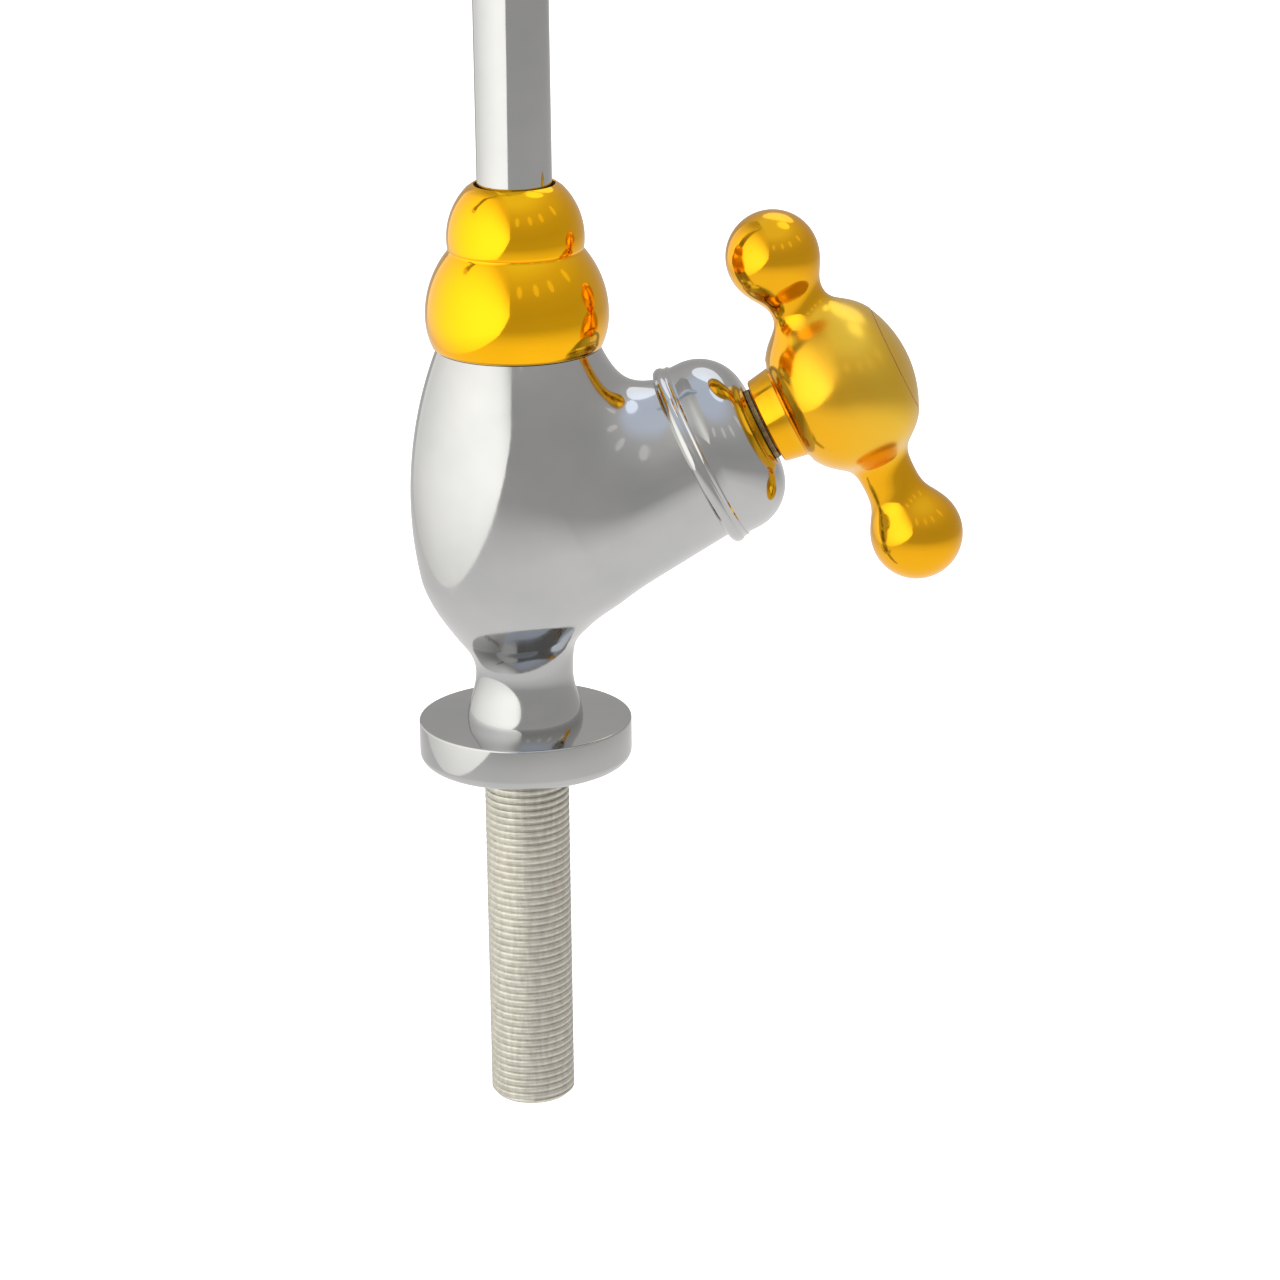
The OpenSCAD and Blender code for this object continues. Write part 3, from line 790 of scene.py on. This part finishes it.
# ---------------------------------------------------------------- spout collar
# A turned and gold-plated nut in the shape of two beads, screwed down on the body.
# Its lip holds the spout's foot and leaves a narrow gap round the tube; the bore is coloured dark as painted
# shade.
TUBE_R = 0.009
COLLAR_LOW_R, COLLAR_LOW_Z = 0.0221, SHOULDER_Z + 0.0081
COLLAR_TOP_R, COLLAR_TOP_Z = 0.01655, SHOULDER_Z + 0.0268
COLLAR_END = SHOULDER_Z + 0.0399
COLLAR_THREAD_END = SHOULDER_Z + 0.0167
HOLE_R = TUBE_R + 0.0007


def belly(radius, bend, level, heights):
    """Stations of a bead: an arc of radius bend, widest at level."""
    return [(radius - bend + math.sqrt(bend ** 2 - (z - level) ** 2), z) for z in heights]


collar = lathe("bead_collar",
               [(BOSS_R, SHOULDER_Z + 0.0001), (0.0196, SHOULDER_Z + 0.0001), (0.02, SHOULDER_Z + 0.0003)]
               + belly(COLLAR_LOW_R, 0.018, COLLAR_LOW_Z, np.linspace(SHOULDER_Z + 0.0007, COLLAR_LOW_Z, 14))
               + belly(COLLAR_LOW_R, 0.0242, COLLAR_LOW_Z,
                       np.linspace(COLLAR_LOW_Z, SHOULDER_Z + 0.0235, 22)[1:])
               + [(0.01625, SHOULDER_Z + 0.02385), (0.01618, SHOULDER_Z + 0.0241)]
               + belly(COLLAR_TOP_R, 0.0173, COLLAR_TOP_Z,
                       np.linspace(SHOULDER_Z + 0.0244, COLLAR_END - 0.0011, 26))
               + [(0.0106, COLLAR_END - 0.0003), (0.0101, COLLAR_END), (HOLE_R + 0.0001, COLLAR_END - 0.0001),
                  (HOLE_R, COLLAR_END - 0.0004), (HOLE_R, COLLAR_THREAD_END), (BOSS_R, COLLAR_THREAD_END),
                  (BOSS_R, SHOULDER_Z + 0.0001)], 180)
# Brass with a dark base colour as painted shade, so the collar's bore and the inner barrel seen in the gaps
# read as deep shadow.
brass_in_painted_shade = node_material("brass_in_painted_shade", (0.34, 0.24, 0.12), 1.0, 0.5)
tint(brass_in_painted_shade, noise(brass_in_painted_shade, 300, 4), (0.26, 0.18, 0.09), (0.42, 0.31, 0.16))
vary(brass_in_painted_shade, noise(brass_in_painted_shade, 700, 3), "Roughness", 0.4, 0.6)
bump(brass_in_painted_shade, noise(brass_in_painted_shade, 2500, 2), 0.000006)
collar.data.materials.append(gold)
collar.data.materials.append(brass_in_painted_shade)
# The faces of the bore take the dark brass: painted shade inside the narrow gap round the tube.
for face in collar.data.polygons:
    if math.hypot(face.center.x, face.center.y) < HOLE_R + 0.00002:
        face.material_index = 1
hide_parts("spout_collar")
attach(collar, "valve_body")

# ---------------------------------------------------------------- gooseneck spout
# Thin-walled brass tube, bent over a former and chromed, with its foot in the ferrule
# and an aerator on the end.
BEND_R, BEND_Z = 0.065, 0.242
TUBE_WALL = 0.001
OUTLET_LEG = 0.024
OUTLET_Z = BEND_Z - OUTLET_LEG
FOOT_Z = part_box("spout_tube")[0][2]


def gooseneck(name, radius):
    """Draws a ring up the riser, spins it over the bend and down the outlet leg."""
    bpy.ops.object.select_all(action="DESELECT")
    bpy.ops.mesh.primitive_circle_add(vertices=72, radius=radius, location=(0, 0, FOOT_Z))
    piece = bpy.context.object
    piece.name = name
    bpy.ops.object.transform_apply(location=True, rotation=False, scale=False)
    bpy.ops.object.mode_set(mode="EDIT")
    for _ in range(24):
        bpy.ops.mesh.extrude_region_move(TRANSFORM_OT_translate={"value": (0, 0, (BEND_Z - FOOT_Z) / 24)})
    bpy.ops.mesh.spin(steps=96, angle=math.pi, center=(-BEND_R, 0, BEND_Z), axis=(0, 1, 0))
    bpy.ops.mesh.extrude_region_move(TRANSFORM_OT_translate={"value": (0, 0, OUTLET_Z - BEND_Z)})
    bpy.ops.object.mode_set(mode="OBJECT")
    settle_shading(piece, 40)
    return piece


spout = gooseneck("gooseneck_tube", TUBE_R)
wall = spout.modifiers.new("wall", "SOLIDIFY")
wall.thickness = TUBE_WALL
wall.offset = -1
bpy.context.view_layer.objects.active = spout
bpy.ops.object.modifier_apply(modifier="wall")
settle_shading(spout, 40)
spout.data.materials.append(chrome)
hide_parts("spout_tube")
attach(spout, "spout")

# ---------------------------------------------------------------- aerator housing
# A short turned and chromed sleeve on the end of the spout. Its lip holds the flow
# insert, and two fine grooves give fingers a grip.
AERATOR_R = 0.0116
LIP_R, INSERT_R = 0.0094, 0.0102
GROOVE_R = AERATOR_R - 0.0003
sleeve = lathe("aerator_sleeve",
               [(LIP_R, 0.0), (AERATOR_R - 0.0008, 0.0)]
               + arc((AERATOR_R - 0.0008, 0.0008), 0.0008, -90, 0, 8)
               + [(AERATOR_R, 0.0042), (GROOVE_R, 0.0044), (GROOVE_R, 0.005), (AERATOR_R, 0.0052),
                  (AERATOR_R, 0.0092), (GROOVE_R, 0.0094), (GROOVE_R, 0.01), (AERATOR_R, 0.0102)]
               + arc((AERATOR_R - 0.0014, 0.0136), 0.0014, 0, 90, 8)
               + [(TUBE_R, 0.015), (TUBE_R, 0.007), (INSERT_R, 0.0069), (INSERT_R, 0.0012), (LIP_R, 0.0012),
                  (LIP_R, 0.0)])
sleeve.data.transform(Matrix.Translation((-2 * BEND_R, 0, OUTLET_Z - 0.007)))
sleeve.data.materials.append(chrome)
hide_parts("aerator_housing")
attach(sleeve, "spout")

# ---------------------------------------------------------------- inner parts
# Brass headworks, spindle and nuts, rubber and fibre washers: what a plumber finds
# inside, with the plain finish of turned and moulded parts; the brass is darkened as painted shade
# where it shows in the gaps.
black_rubber = node_material("black_rubber", (0.03, 0.03, 0.03), 0.0, 0.7)
tint(black_rubber, noise(black_rubber, 400, 3), (0.02, 0.02, 0.02), (0.05, 0.05, 0.05))
bump(black_rubber, noise(black_rubber, 3000, 2), 0.00003)
red_fibre = node_material("red_fibre", (0.42, 0.08, 0.05), 0.0, 0.75)
tint(red_fibre, noise(red_fibre, 900, 4), (0.32, 0.05, 0.03), (0.5, 0.12, 0.07))
bump(red_fibre, noise(red_fibre, 2500, 3), 0.00004)
white_ptfe = node_material("white_ptfe", (0.86, 0.86, 0.84), 0.0, 0.4)
tint(white_ptfe, noise(white_ptfe, 500, 3), (0.8, 0.8, 0.77), (0.9, 0.9, 0.88))
bump(white_ptfe, noise(white_ptfe, 2500, 2), 0.00002)
steel = node_material("screw_steel", (0.56, 0.56, 0.57), 1.0, 0.28)
tint(steel, noise(steel, 600, 3), (0.46, 0.46, 0.47), (0.62, 0.62, 0.63))
bump(steel, noise(steel, 3000, 2), 0.00002)
grey_plastic = node_material("grey_plastic", (0.6, 0.62, 0.65), 0.0, 0.45)
tint(grey_plastic, noise(grey_plastic, 500, 3), (0.55, 0.57, 0.6), (0.65, 0.67, 0.7))
bump(grey_plastic, noise(grey_plastic, 2500, 2), 0.00002)

finish_of = {"chrome_body": chrome, "brass_inner": brass_in_painted_shade, "black_rubber": black_rubber,
             "red_fibre": red_fibre, "white_ptfe": white_ptfe, "steel_screw": steel,
             "grey_plastic": grey_plastic, "gold_plate": gold, "nickel_thread": satin_nickel}
for entry in frame["record"]["subparts"]:
    node = frame["nodes"][entry["node"]]
    node.data.materials.clear()
    node.data.materials.append(finish_of[entry["material_slot"]])
